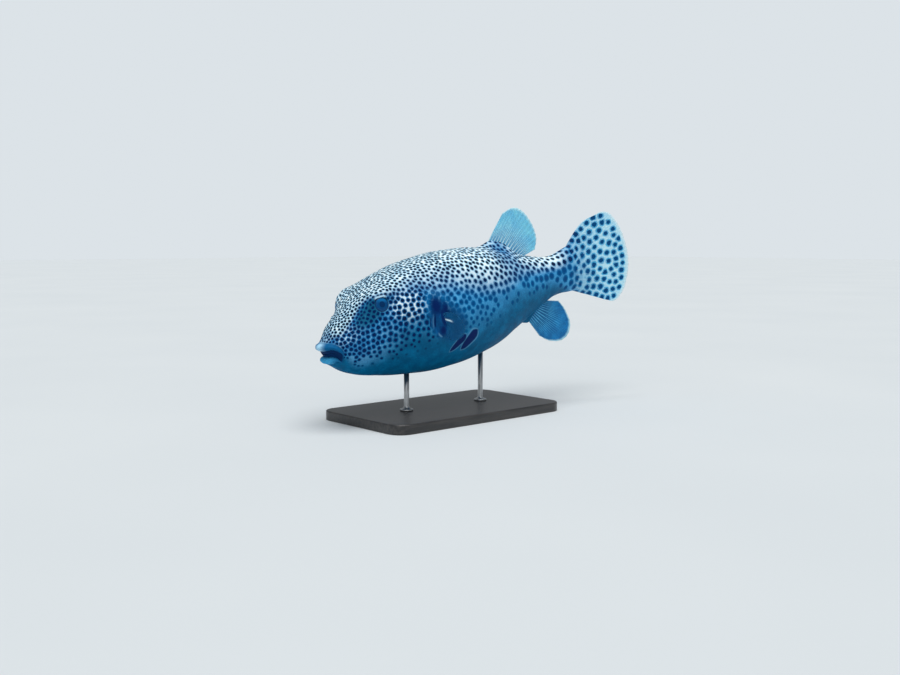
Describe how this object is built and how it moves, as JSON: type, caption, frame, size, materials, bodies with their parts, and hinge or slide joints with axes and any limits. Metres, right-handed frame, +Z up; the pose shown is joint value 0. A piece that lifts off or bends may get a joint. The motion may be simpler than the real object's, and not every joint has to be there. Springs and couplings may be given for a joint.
{
  "type": "starry pufferfish",
  "caption": "Life-size museum model of a swimming starry pufferfish, nose down with its tail swung to one side, held over a plain base on two short rods.",
  "frame": {"origin": "centre of the stand base's underside, under the fish's balance point", "axes": "+Z up; the fish faces -X and its left side is towards -Y; +X runs back to its tail"},
  "size_m": [0.7735, 0.24, 0.4039],
  "materials": {
    "skin": "satin, finely prickled",
    "lip": "satin",
    "tooth": "gloss",
    "eye": "high gloss",
    "fin": "satin, rayed",
    "base": "black stain, satin",
    "rod": "brushed"
  },
  "bodies": {
    "root": {"head": "skin", "trunk": "skin", "tail": "skin", "upper_lip": "lip", "lower_lip": "lip", "teeth_upper": "tooth", "teeth_lower": "tooth", "eye_left": "eye", "eye_right": "eye", "nostril_left": "lip", "nostril_right": "lip", "fin_dorsal": "fin", "fin_anal": "fin", "fin_caudal": "fin", "fin_pectoral_left": "fin", "fin_pectoral_right": "fin", "stand_base": "base", "stand_rod_front": "rod", "stand_rod_rear": "rod"}
  },
  "joints": []
}
